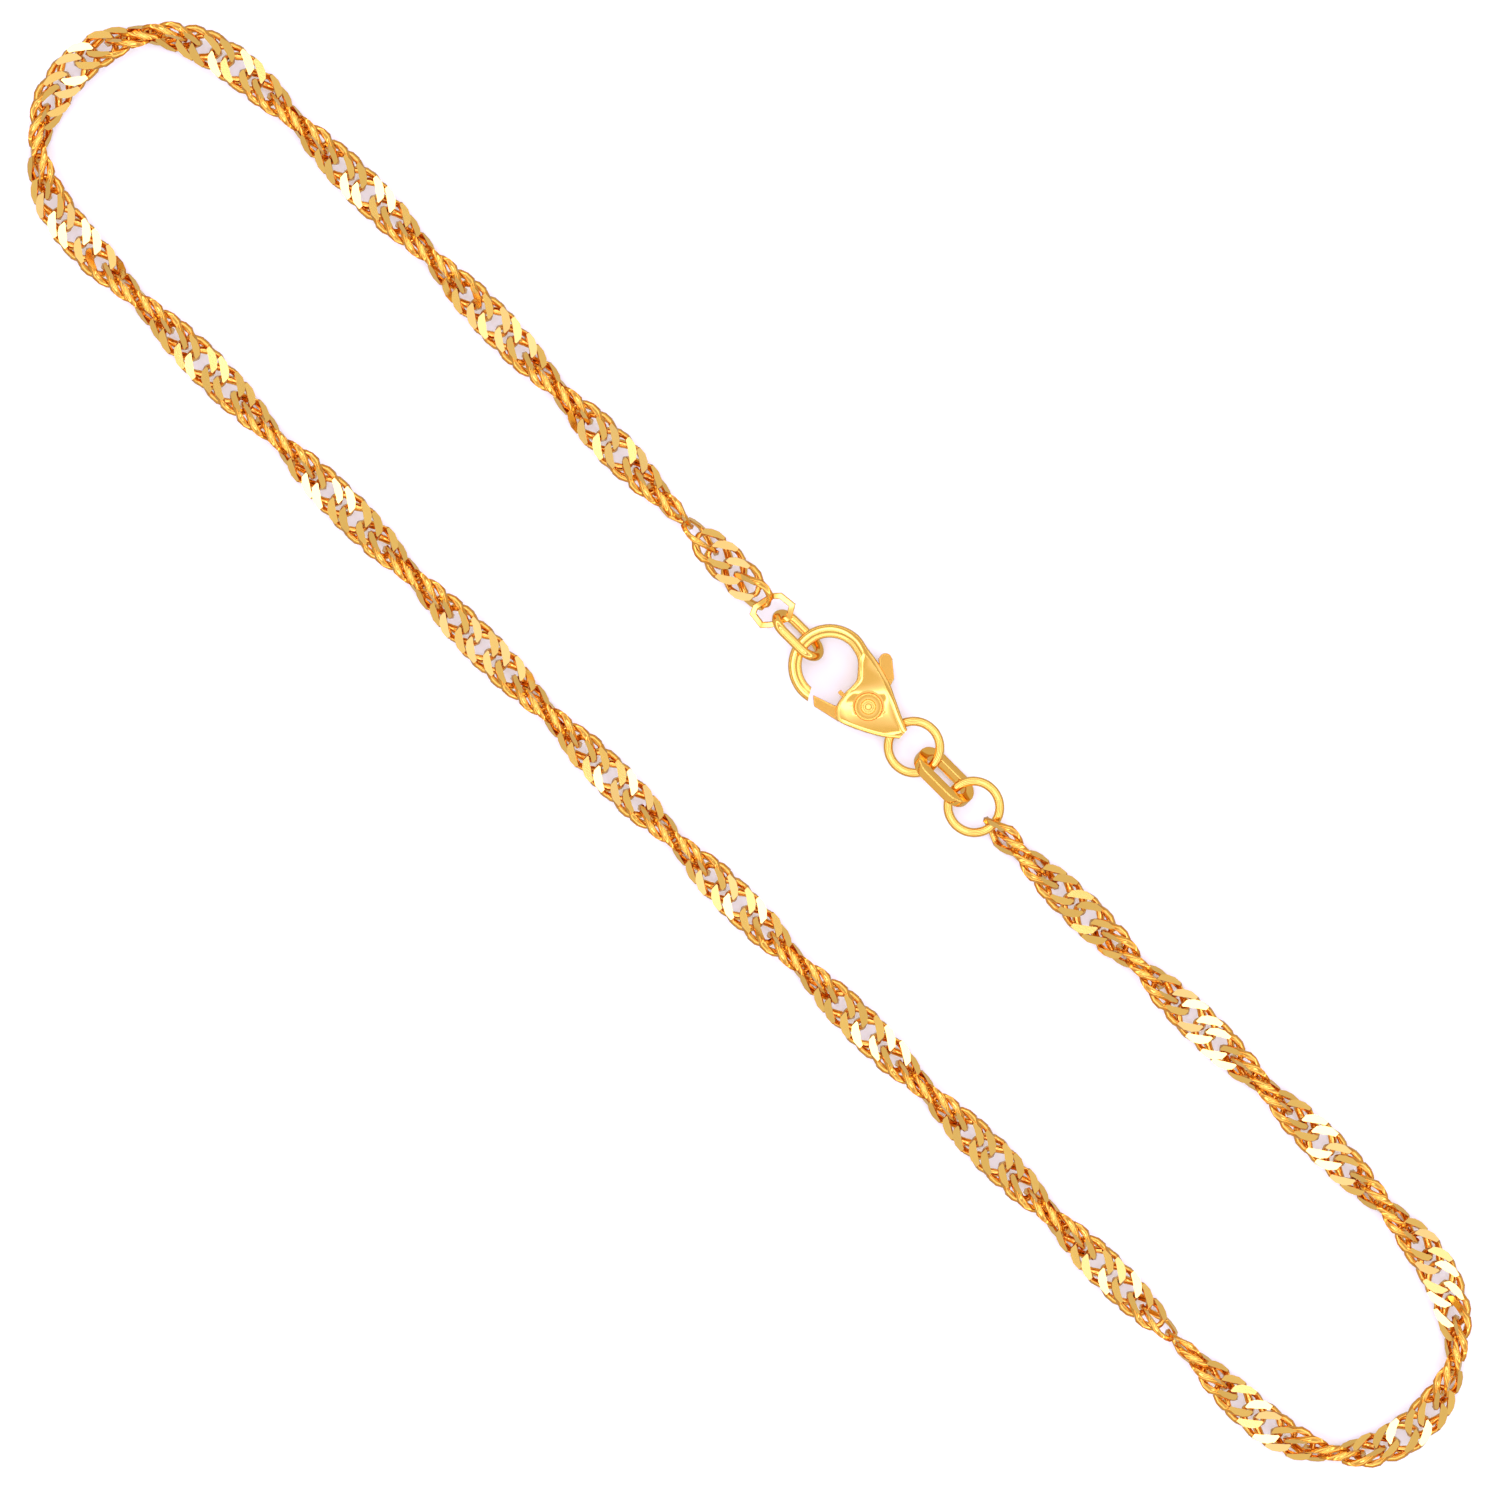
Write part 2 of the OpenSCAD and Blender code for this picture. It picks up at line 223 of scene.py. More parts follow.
# The route's points: share of half the loop's length, share of half its width.
ROUTE_SHAPE = np.array([
    (-0.085, 0.92), (-0.26, 0.928), (-0.44, 0.96), (-0.62, 0.992), (-0.78, 0.992), (-0.9, 0.992),
    (-0.966, 0.744), (-1, 0.32), (-1.006, -0.152), (-0.985, -0.6), (-0.936, -0.944),
    (-0.86, -1.024), (-0.75, -0.992), (-0.58, -1.008), (-0.4, -1.016), (-0.22, -1.024),
    (-0.04, -1.032), (0.14, -1.024), (0.32, -1.024), (0.5, -1.016), (0.68, -1.024),
    (0.82, -1.016), (0.91, -1), (0.968, -0.752), (1, -0.368), (1.006, 0.12), (0.978, 0.64),
    (0.908, 0.992), (0.824, 1.008), (0.736, 1.024), (0.597, 1), (0.458, 0.984), (0.33, 0.96),
    (0.234, 0.944)])
# Where the links stand upright, and where the long row ends, as shares of the loop's length.
LONG_WAISTS = (
    0.158, 0.258, 0.357, 0.45, 0.539, 0.639, 0.743, 0.8445, 0.945, 1.039, 1.13, 1.226, 1.318)
LAST_WAISTS = (1.515, 1.603, 1.694, 1.783, 1.875)
LONG_END = 1.3955 * LOOP_L
# The first link lies FIRST_PLACE along the route, and the last one LAST_BACK before its end.
FIRST_PLACE = 2.81
LAST_BACK = 2.07
SHORT_LINKS = 5
SHORT_TURN = 32
LAST_TURN = 30
SPAN_STEPS = 12
UPRIGHT = 90


def spline(points, steps):
    """A uniform cubic B-spline. Point at share t of span i = ((1-t)^3 P0 + (3t^3 - 6t^2 + 4) P1
    + (-3t^3 + 3t^2 + 3t + 1) P2 + t^3 P3) / 6, with one mirrored point beyond each end."""
    ends = 2 * points[0] - points[1], 2 * points[-1] - points[-2]
    h = np.vstack([ends[0], points, ends[1]])
    t = (np.arange(steps) / steps)[None, :, None]
    p0, p1, p2, p3 = (h[k:len(h) - 3 + k, None] for k in range(4))
    spans = ((1 - t) ** 3 * p0 + (3 * t ** 3 - 6 * t ** 2 + 4) * p1
             + (-3 * t ** 3 + 3 * t ** 2 + 3 * t + 1) * p2 + t ** 3 * p3) / 6
    return np.vstack([spans.reshape(-1, points.shape[1]), points[-1]])


def stretch(start, end, knots):
    """Places and turns of an even row of links. Every second one is shifted back, less so near the
    row's end: the saddles leave more room than the flat rings that stand for them in the solids."""
    gaps = round((end - start) / LINK_PITCH)
    i = np.arange(gaps + 1)
    s = start + i * (end - start) / gaps
    shifted = (i % 2) * np.minimum((gaps - i) / FADE_LINKS, 1)
    knots = np.array(knots, dtype=float)
    return s - shifted * PAIR_SHIFT, np.interp(s, knots[:, 0], knots[:, 1])


def waist_turns(waists, step):
    """Pairs of place and turn: half a turn more, or less, at each waist."""
    return [(w * LOOP_L, UPRIGHT + step * (k + 1)) for k, w in enumerate(waists)]


def link_frames():
    """For every link: its centre, its direction, its turn, the hand of its twist, +1 or -1, and
    whether it stands beside a change of hand."""
    route = spline(ROUTE_SHAPE * (LOOP_L / 2, LOOP_W / 2), SPAN_STEPS)
    far = np.concatenate([[0], np.cumsum(np.hypot(*np.diff(route, axis=0).T))])

    def at(place):
        return np.stack([np.interp(place, far, route[:, axis]) for axis in (0, 1)], -1)

    first_end = FIRST_PLACE + (SHORT_LINKS - 1) * LINK_PITCH
    long_start = first_end + 2 * LINK_PITCH
    last_start = LONG_END + 2 * LINK_PITCH
    last_place = far[-1] - LAST_BACK
    before = UPRIGHT - LINK_TURN
    long_last = UPRIGHT - HALF_TURN * (len(LONG_WAISTS) + 1) + LINK_TURN
    last_last = UPRIGHT + HALF_TURN * (len(LAST_WAISTS) + 1) + LAST_TURN
    first_turns = [(FIRST_PLACE, before - (SHORT_LINKS - 1) * SHORT_TURN), (first_end, before)]
    long_turns = [(long_start, UPRIGHT + LINK_TURN), *waist_turns(LONG_WAISTS, -HALF_TURN),
                  (LONG_END, long_last)]
    last_turns = [(last_start, before), *waist_turns(LAST_WAISTS, HALF_TURN),
                  (last_place, last_last)]
    rows = [stretch(FIRST_PLACE, first_end, first_turns),
            stretch(long_start, LONG_END, long_turns),
            stretch(last_start, last_place, last_turns)]
    hand = np.concatenate([np.full(len(row[0]), sign) for row, sign in zip(rows, (1, -1, 1))])
    s, turn = (np.concatenate(part) for part in zip(*rows))
    ahead = at(s + LINK_PITCH) - at(s - LINK_PITCH)
    ahead /= np.linalg.norm(ahead, axis=1)[:, None]
    changes = np.abs(np.diff(hand)) > 0
    beside = np.append(changes, False) | np.append(False, changes)
    centre = np.column_stack([at(s), np.full(len(s), CHAIN_Z + CHAIN_LIFT)])
    return centre, ahead, np.radians(turn), hand, beside


# The real link is a saddle of round wire, cut flat on both faces. Half of each face stands
# proud and is cut; the other half dips under the neighbouring links.
QUARTER_STEPS = np.radians((4, 24.5, 45, 65.5, 86))
ROUND_STEPS = 4 * len(QUARTER_STEPS)
FACE_L = 5.2
FACE_W = 4.2
CHAIN_LIFT = 0.05
# The wire's width at the link's ends, at its sides and on the diagonals.
END_WIRE = 0.62
SIDE_WIRE = 0.70
BAR_WIRE = 0.92
# The middle line's rise and how level its quarters are, the section's half heights, and the
# height at which both faces are cut.
SADDLE = 0.42
SADDLE_FLAT = 2.0
END_HALF_H = 0.40
SIDE_HALF_H = 0.50
CUT_AT = 0.50
# An uncut ridge is blunted to this share of the section's half height.
RIDGE_SINE = 0.985
# The section's points: two on the top, one outside, two below, one inside.
SECTION_POINTS = 6
TOP_POINTS = (0, 5)
LOW_POINTS = (2, 3)
TOUCHING = 1e-9
# Beside a change of hand the links are drawn smaller. All are a little uneven, in degrees.
HAND_SLIM = 0.8
LINK_UNEVEN = 2.2
LINK_SEED = 11


def saddle_link(hand, slim):
    """A grid of steps round the link by points of the wire's section, and which are cut.

    The outer edge is the ellipse (L/2 cos f, W/2 sin f). The wire reaches inwards by its width,
    widest where sin^2 2f = 1, and is tallest at the sides, by sin^4 f. Its middle height is
    -hand * saddle * tanh(flat * sin 2f) over tanh(flat), so that each quarter of the link is
    nearly level. The section is an ellipse; its top and bottom are cut off at plus and minus
    CUT_AT."""
    f = (TURN / 4 * np.arange(4)[:, None] + QUARTER_STEPS).reshape(-1)
    c, s = np.cos(f), np.sin(f)
    outer = np.stack([FACE_L / 2 * c, FACE_W / 2 * s], -1)
    out = np.stack([c / FACE_L, s / FACE_W], -1)
    out /= np.linalg.norm(out, axis=1)[:, None]
    plain = END_WIRE * c ** 2 + SIDE_WIRE * s ** 2
    width = (plain + (BAR_WIRE - (END_WIRE + SIDE_WIRE) / 2) * np.sin(2 * f) ** 2) * slim
    middle = -hand * slim * SADDLE * np.tanh(SADDLE_FLAT * np.sin(2 * f)) / np.tanh(SADDLE_FLAT)
    tall = (END_HALF_H + (SIDE_HALF_H - END_HALF_H) * s ** 4) * slim
    top = np.minimum(CUT_AT * slim, middle + RIDGE_SINE * tall)
    low = np.maximum(-CUT_AT * slim, middle - RIDGE_SINE * tall)
    cut_top, cut_low = top >= CUT_AT * slim - TOUCHING, low <= -CUT_AT * slim + TOUCHING
    a_top, a_low = np.arcsin((top - middle) / tall), np.arcsin((low - middle) / tall)
    a_mid = (a_top + a_low) / 2
    angles = np.stack([a_top, a_mid, a_low, a_low, a_mid, a_top], -1)
    side = np.array([1, 1, 1, -1, -1, -1])
    across = side * np.cos(angles) * width[:, None] / 2 - width[:, None] / 2
    points = np.empty(angles.shape + (3,))
    points[..., :2] = outer[:, None] + out[:, None] * across[..., None]
    points[..., 2] = middle[:, None] + np.sin(angles) * tall[:, None]
    return points, np.stack([cut_top, cut_low], -1)


def make_chain():
    """All links in one mesh: point = centre + x T + y Y + z N, with Y and N the link's width and
    face turned about the chain's line T. Each link is a little uneven in its turn and tip."""
    centre, ahead, turn, hand, beside = link_frames()
    count = len(centre)
    rng = np.random.default_rng(LINK_SEED)
    turn = turn + np.radians(LINK_UNEVEN) * rng.uniform(-1, 1, count)
    tip = np.radians(LINK_UNEVEN) * rng.uniform(-1, 1, count)
    along = np.column_stack([ahead, np.zeros(count)])
    left = np.column_stack([-ahead[:, 1], ahead[:, 0], np.zeros(count)])
    up = np.array([0, 0, 1.0])
    wide = left * np.cos(turn)[:, None] + up * np.sin(turn)[:, None]
    face = -left * np.sin(turn)[:, None] + up * np.cos(turn)[:, None]
    tipped = along * np.cos(tip)[:, None] + face * np.sin(tip)[:, None]
    face = face * np.cos(tip)[:, None] - along * np.sin(tip)[:, None]
    axes = np.stack([tipped, wide, face], 1)
    kinds = [saddle_link(sign, slim) for sign in (1, -1) for slim in (1, HAND_SLIM)]
    kind = 2 * (hand < 0) + beside
    local = np.stack([k[0] for k in kinds])[kind]
    cut = np.stack([k[1] for k in kinds])[kind]
    points = np.einsum("nijk,nkl->nijl", local, axes) + centre[:, None, None]
    faces = grid_faces(ROUND_STEPS, SECTION_POINTS)[:, ::-1]
    first = ROUND_STEPS * SECTION_POINTS * np.arange(count)[:, None, None]
    piece = new_piece("chain_links", points.reshape(-1, 3), [(faces[None] + first).reshape(-1, 4)],
                      cut_gold, "chain")
    mark_cuts(piece.data, cut)


def mark_cuts(mesh, cut):
    """Writes the cut faces and their rims as attributes, and makes their edges sharp; the material
    paints the uncut wire at the rims a darker orange, as painted shade. The top strip joins the
    section's two top points, and the lower strip its two low ones."""
    strip = cut & np.roll(cut, -1, axis=1)
    cut_faces = np.zeros((len(cut), ROUND_STEPS, SECTION_POINTS))
    cut_faces[:, :, TOP_POINTS[1]] = strip[..., 0]
    cut_faces[:, :, LOW_POINTS[0]] = strip[..., 1]
    mesh.attributes.new("cut", "FLOAT", "FACE").data.foreach_set("value", cut_faces.reshape(-1))
    # Points on the cut faces' edges: the material paints the wire beside them a darker orange
    # there, as painted shade.
    painted_rim_shade = np.zeros((len(cut), ROUND_STEPS, SECTION_POINTS))
    painted_rim_shade[..., TOP_POINTS] = cut[..., :1]
    painted_rim_shade[..., LOW_POINTS] = cut[..., 1:]
    mesh.attributes.new("painted_rim_shade", "FLOAT", "POINT").data.foreach_set("value", painted_rim_shade.reshape(-1))
    ends = np.empty(len(mesh.edges) * 2, dtype=np.int64)
    mesh.edges.foreach_get("vertices", ends)
    link, row, column = np.unravel_index(ends.reshape(-1, 2).T, painted_rim_shade.shape)
    on_face = np.isin(column, TOP_POINTS + LOW_POINTS).all(0)
    level = np.isin(column, LOW_POINTS).astype(int)
    same_level = level[0] == level[1]
    mesh.edges.foreach_set("use_edge_sharp", cut[link, row, level].all(0) & on_face & same_level)


make_chain()


# The rings and links of the clasp line.
LINE_Z = 1.975


def oval_path(length, width, steps):
    """A stadium's middle line and its outward directions, evenly along its length:
    two half circles of radius width / 2 joined by straight sides."""
    radius, half = width / 2, (length - width) / 2
    around = np.pi * radius
    total = 2 * around + 4 * half
    q = (np.arange(steps) / steps * total + half) % total
    on_arc_right = (q >= 2 * half) & (q < 2 * half + around)
    on_top = (q >= 2 * half + around) & (q < 4 * half + around)
    on_arc_left = q >= 4 * half + around
    where = [on_arc_right, on_top, on_arc_left]
    right = (q - 2 * half) / radius - np.pi / 2
    left = (q - 4 * half - around) / radius + np.pi / 2
    angle = np.select(where, [right, np.pi / 2, left], -np.pi / 2)
    x = np.select(where, [half, half - (q - 2 * half - around), -half], q - half)
    out = np.stack([np.cos(angle), np.sin(angle)], -1)
    return np.stack([x, np.zeros(steps)], -1) + out * radius, out


def square_round(side, corner, steps):
    """A square's outline with rounded corners: corner centres plus a quarter circle each."""
    t = np.arange(steps) / steps * 4
    quarter = np.floor(t)
    angle = (quarter + np.minimum((t - quarter) * steps / (steps - 4), 1)) * np.pi / 2
    centre = (quarter * np.pi / 2) + np.pi / 4
    reach = (side / 2 - corner) * math.sqrt(2)
    x = reach * np.cos(centre) + corner * np.cos(angle)
    y = reach * np.sin(centre) + corner * np.sin(angle)
    return np.stack([x, y], -1)


def circle(diameter, steps):
    """A circle's outline."""
    t = TURN * np.arange(steps) / steps
    return np.stack([np.cos(t), np.sin(t)], -1) * diameter / 2


def carried_ring(path, out, section):
    """A section carried round a closed flat path: point = path + a * out + b * up."""
    points = np.empty((len(path), len(section), 3))
    points[..., :2] = path[:, None] + out[:, None] * section[None, :, :1]
    points[..., 2] = section[None, :, 1]
    return points


def sloped(points, slope, centre):
    """Points turned about X by the slope in degrees, then moved to the centre."""
    c, s = math.cos(math.radians(slope)), math.sin(math.radians(slope))
    x, y, z = np.moveaxis(points, -1, 0)
    return np.stack([x, y * c - z * s, y * s + z * c], -1) + np.array(centre)


# Outer sizes, wires and slopes in degrees, then where the middles lie.
RING_D, RING_WIRE, RING_TILT = 6.45, 0.97, 12
OVAL_L, OVAL_W, OVAL_WIRE, OVAL_SLOPE = 7.43, 4.25, 1.08, 50
OVAL_CORNER = 0.1
CONNECTOR_L, CONNECTOR_W, CONNECTOR_WIRE, CONNECTOR_SLOPE = 6.9, 4.25, 1.05, 59
NEAR_Y, FAR_Y = 11.5, 11.82
CONNECTOR_X, RING_A_X, OVAL_X, RING_B_X = -4.45, 12.475, 16.915, 21.355
END_LINK_X = -8.01
# Steps round a ring and round its wire.
RING_STEPS = 96
WIRE_STEPS = 24


def ring_piece(name, node, length, width, section, slope, centre):
    """A closed oval of wire whose middle line is length by width."""
    path, out = oval_path(length, width, RING_STEPS)
    points = sloped(carried_ring(path, out, section), slope, centre)
    new_piece(name, points.reshape(-1, 3), [grid_faces(RING_STEPS, len(section))],
              polished_gold, node)


for node, x in (("jump_ring_a", RING_A_X), ("jump_ring_b", RING_B_X)):
    ring_piece(node + "_wire", node, RING_D - RING_WIRE, RING_D - RING_WIRE,
               circle(RING_WIRE, WIRE_STEPS), RING_TILT, (x, FAR_Y, LINE_Z))
ring_piece("connector_wire", "connector_ring", CONNECTOR_L - CONNECTOR_WIRE,
           CONNECTOR_W - CONNECTOR_WIRE, circle(CONNECTOR_WIRE, WIRE_STEPS), -CONNECTOR_SLOPE,
           (CONNECTOR_X, NEAR_Y, LINE_Z))
ring_piece("heavy_link", "oval_link", OVAL_L - OVAL_WIRE, OVAL_W - OVAL_WIRE,
           square_round(OVAL_WIRE, OVAL_CORNER, WIRE_STEPS), -OVAL_SLOPE,
           (OVAL_X, FAR_Y, LINE_Z))

# The end link: a bent ring of wire rolled flat. Its corners are measured from its centre.
END_LINK_CORNERS = np.array([
    (-1.58, 1.13), (-0.8, 1.98), (1.07, 2.18), (1.96, 0.65), (1.67, -0.05), (1.05, -1.36),
    (0.23, -2.28), (-1.6, -2.04), (-2.02, -1.05)])
END_LINK_SLOPE = 10
# The wire's section: distance in from the outer edge, and height.
END_LINK_SECTION = np.array([
    (0, -0.14), (0, 0.14), (0.08, 0.23), (0.54, 0.29), (0.62, 0.18), (0.62, -0.18),
    (0.54, -0.29), (0.08, -0.23)])
# Edges steeper than this, in degrees, are shaded sharp.
END_LINK_SHARP = 12


def inset_corners(corners, distance):
    """A polygon's corners moved in by a distance: corner + d (a + b) / (1 + a.b), where a and b
    are the inward directions of the two sides that meet there."""
    side = np.roll(corners, -1, axis=0) - corners
    inward = np.stack([side[:, 1], -side[:, 0]], -1) / np.linalg.norm(side, axis=1)[:, None]
    before = np.roll(inward, 1, axis=0)
    bisector = (inward + before) / (1 + np.sum(inward * before, axis=1))[:, None]
    return corners + distance * bisector


def make_end_link():
    """The section above carried round the corners, mitred at each."""
    inset, height = END_LINK_SECTION.T
    rings = np.stack([inset_corners(END_LINK_CORNERS, distance) for distance in inset], 1)
    heights = np.broadcast_to(height, rings.shape[:2])
    points = sloped(np.concatenate([rings, heights[..., None]], -1), END_LINK_SLOPE,
                    (END_LINK_X, NEAR_Y, LINE_Z))
    piece = new_piece("end_link_flat_wire", points.reshape(-1, 3), [grid_faces(*rings.shape[:2])],
                      polished_gold, "chain_end_link")
    piece.data.set_sharp_from_angle(angle=math.radians(END_LINK_SHARP))


make_end_link()


# The clasp. The hook is an arc about its hole's middle, and the body goes on from it between an
# outer rail and a rail along the hole, paired point by point.
HOOK_X, HOOK_Y = 0.2, 11.6
HOOK_R, HOOK_W, HOOK_HALF_H = 2.95, 1.45, 0.725
# The hook's first and last angle, in degrees, along its outer and its inner edge.
OUTER_ARC = (283, 87)
INNER_ARC = (274, 87)
HOOK_POINTS = 16
RAIL_STEPS = 5
OUTER_RAIL = [
    (1.70, 15.73), (3.0, 15.55), (4.6, 15.2), (5.72, 14.85), (6.6, 14.47), (7.35, 14.1),
    (8.1, 13.75), (8.7, 13.46), (9.1, 13.28), (9.5, 13.1), (10.1, 12.85), (10.7, 12.6)]
INNER_RAIL = [
    (1.40, 14.30), (2.02, 13.92), (2.65, 13.25), (3.185, 12.54), (3.33, 11.6), (3.30, 10.70),
    (3.56, 9.35), (4.02, 8.575), (4.91, 8.115), (6.88, 8.85), (9.2, 10.1), (10.75, 11.3)]
# The hook's profile: share of its width from outside, share of its half height. The body keeps
# the outer and the inner band, and spreads the one between them.
HOOK_PROFILE = np.array([
    (0, 0), (0.02, 0.36), (0.06, 0.63), (0.12, 0.8), (0.15, 0.825), (0.3, 0.905), (0.44, 0.975),
    (0.475, 0.985), (0.5, 0.975), (0.67, 0.85), (0.7, 0.84), (0.75, 0.845), (0.78, 0.86),
    (0.81, 0.84), (0.89, 0.81), (0.93, 0.75), (0.97, 0.55), (0.99, 0.38), (1, 0)])
BAND_EDGES = (8, 9)
BODY_COLUMNS = 8
# The crown: half height, how far short of the rivet its ridge runs, its slopes in degrees
# towards the hook and towards the tip, the reach of its rounding, and the rows over which the
# body rises to it.
CROWN_HALF_H = 1.8
RIDGE_BACK = 1.7
HOOK_SLOPE = 8
TIP_SLOPE = 8.5
RIDGE_SOFT = 2.2
RISE_ROWS = (11, 22)
RIVET_X, RIVET_Y = 6.094, 11.402


def through(points, steps):
    """A Catmull-Rom curve: P1 + (P2 - P0) t/2 + (2 P0 - 5 P1 + 4 P2 - P3) t^2/2
    + (-P0 + 3 P1 - 3 P2 + P3) t^3/2, with one mirrored point beyond each end."""
    h = np.vstack([2 * points[0] - points[1], points, 2 * points[-1] - points[-2]])
    t = (np.arange(steps) / steps)[None, :, None]
    p0, p1, p2, p3 = (h[k:len(h) - 3 + k, None] for k in range(4))
    spans = p1 + ((p2 - p0) * t + (2 * p0 - 5 * p1 + 4 * p2 - p3) * t ** 2
                  + (3 * p1 - p0 - 3 * p2 + p3) * t ** 3) / 2
    return np.vstack([spans.reshape(-1, points.shape[1]), points[-1]])


def crown_height(x, y):
    """The body's half height: a ridge across it with a rounded top,
    h0 - (a v + b (sqrt(v^2 + c^2) - c)), with v the distance past the ridge, a + b the slope
    beyond it and a - b the slope before it."""
    v = ((x - RIVET_X) - (y - RIVET_Y)) / math.sqrt(2) + RIDGE_BACK
    up, down = math.tan(math.radians(HOOK_SLOPE)), math.tan(math.radians(TIP_SLOPE))
    rounded = np.sqrt(v ** 2 + RIDGE_SOFT ** 2) - RIDGE_SOFT
    return CROWN_HALF_H - ((down - up) / 2 * v + (down + up) / 2 * rounded)


def body_sections():
    """Rows along the rails by points round the section. Across, a column lies at the hook's own
    distance from the nearer rail, and the columns between the two bands are spread evenly."""
    turn = np.radians([np.linspace(*arc, HOOK_POINTS) for arc in (OUTER_ARC, INNER_ARC)])
    arcs = np.stack([np.cos(turn), np.sin(turn)], -1)
    middle = np.array([HOOK_X, HOOK_Y])
    outer = through(np.vstack([middle + (HOOK_R + HOOK_W) * arcs[0], OUTER_RAIL]), RAIL_STEPS)
    inner = through(np.vstack([middle + HOOK_R * arcs[1], INNER_RAIL]), RAIL_STEPS)
    first, last = BAND_EDGES
    between = np.linspace(HOOK_PROFILE[first], HOOK_PROFILE[last], BODY_COLUMNS + 2)[1:-1]
    profile = np.vstack([HOOK_PROFILE[:first + 1], between, HOOK_PROFILE[last:]])
    spread = np.arange(1, BODY_COLUMNS + 1) / (BODY_COLUMNS + 1)
    share = np.concatenate([np.zeros(first + 1), spread, np.ones(len(HOOK_PROFILE) - last)])
    width = np.linalg.norm(inner - outer, axis=1)[:, None]
    hook_part = np.minimum(width, HOOK_W) * profile[:, 0]
    across = hook_part + share * np.maximum(width - HOOK_W, 0)
    xy = outer[:, None] + (inner - outer)[:, None] * (across / width)[..., None]
    row = np.arange(len(outer)) / RAIL_STEPS
    rise = np.clip((row - RISE_ROWS[0]) / (RISE_ROWS[1] - RISE_ROWS[0]), 0, 1)
    rise = (rise ** 2 * (3 - 2 * rise))[:, None]
    top = HOOK_PROFILE[:, 1].max()
    crown = crown_height(xy[..., 0], xy[..., 1])
    base = HOOK_HALF_H * top + rise * (crown - HOOK_HALF_H * top)
    z = base - (top - profile[:, 1]) * HOOK_HALF_H
    z[:, (0, -1)] = 0
    upper = np.concatenate([xy, z[..., None]], -1)
    lower = upper[:, -2:0:-1] * (1, 1, -1)
    return np.concatenate([upper, lower], 1) + (0, 0, LINE_Z)


def open_grid_faces(rows, columns):
    """Faces of a grid that is closed across its columns only, and one flat face at each end."""
    walls = grid_faces(rows, columns).reshape(rows, columns, 4)[:-1].reshape(-1, 4)
    return [walls, np.arange(columns)[None], (rows * columns - 1 - np.arange(columns))[None]]


def lathe(profile, steps):
    """A profile of radii and heights turned about Z, closed by fans at both ends:
    point = (r cos a, r sin a, h)."""
    a = TURN * np.arange(steps) / steps
    r, h = np.array(profile[1:-1]).T
    height = np.broadcast_to(h, (steps, len(r)))
    ring = np.stack([np.outer(np.cos(a), r), np.outer(np.sin(a), r), height], -1)
    points = np.vstack([ring.reshape(-1, 3), (0, 0, profile[0][1]), (0, 0, profile[-1][1])])
    walls = grid_faces(steps, len(r)).reshape(steps, len(r), 4)[:, :-1].reshape(-1, 4)
    here, after = np.arange(steps) * len(r), (np.arange(steps) + 1) % steps * len(r)
    low, high = np.full(steps, len(points) - 2), np.full(steps, len(points) - 1)
    ends = (low, after, here), (high, here + len(r) - 1, after + len(r) - 1)
    return points, [walls, *(np.stack(end, -1) for end in ends)]


def prism(outline, half):
    """A flat outline between plus and minus half."""
    n = len(outline)
    heights = np.broadcast_to([-half, half], (n, 2))
    flat = np.broadcast_to(outline[:, None], (n, 2, 2))
    points = np.concatenate([flat, heights[..., None]], -1)
    top, low = np.arange(n) * 2 + 1, np.arange(n)[::-1] * 2
    return points.reshape(-1, 3), [grid_faces(n, 2)[::2], top[None], low[None]]


def cut_out(piece, cutters):
    """Takes the cutters' shapes out of a piece, and deletes them."""
    for cutter in cutters:
        cut = piece.modifiers.new("cut", "BOOLEAN")
        cut.operation = "DIFFERENCE"
        cut.solver = "EXACT"
        cut.object = cutter
    graph = bpy.context.evaluated_depsgraph_get()
    done = bpy.data.meshes.new_from_object(piece.evaluated_get(graph))
    piece.modifiers.clear()
    piece.data = done
    for cutter in cutters:
        bpy.data.objects.remove(cutter)


# The slot: half its width, and its outline as shares of the tip's reach and of the hook's
# outer radius, from the hook's middle.
SLOT_HALF = 0.75
TIP_REACH, HOOK_OUT_R = 10.6, 4.4
SLOT_SHAPE = np.array([
    (0.17, -1.1), (0.77, -1.1), (0.77, 1.2), (0.27, 1.2), (0.27, 0.82), (0.41, 0.45),
    (0.37, 0.08), (0.17, -0.2)])
TIP_HOLE_R = 0.605
# The recess round the rivet: its floor's height, and its radii and heights above that.
RECESS_FLOOR = 1.32
RECESS_PROFILE = [
    (0, 0), (1.3, 0), (1.42, 0.05), (1.48, 0.14), (1.5, 0.22), (1.7, 0.32), (1.74, 0.5),
    (1.74, 1.0), (0, 1.0)]
LATHE_STEPS = 64
BODY_SHARP = 35


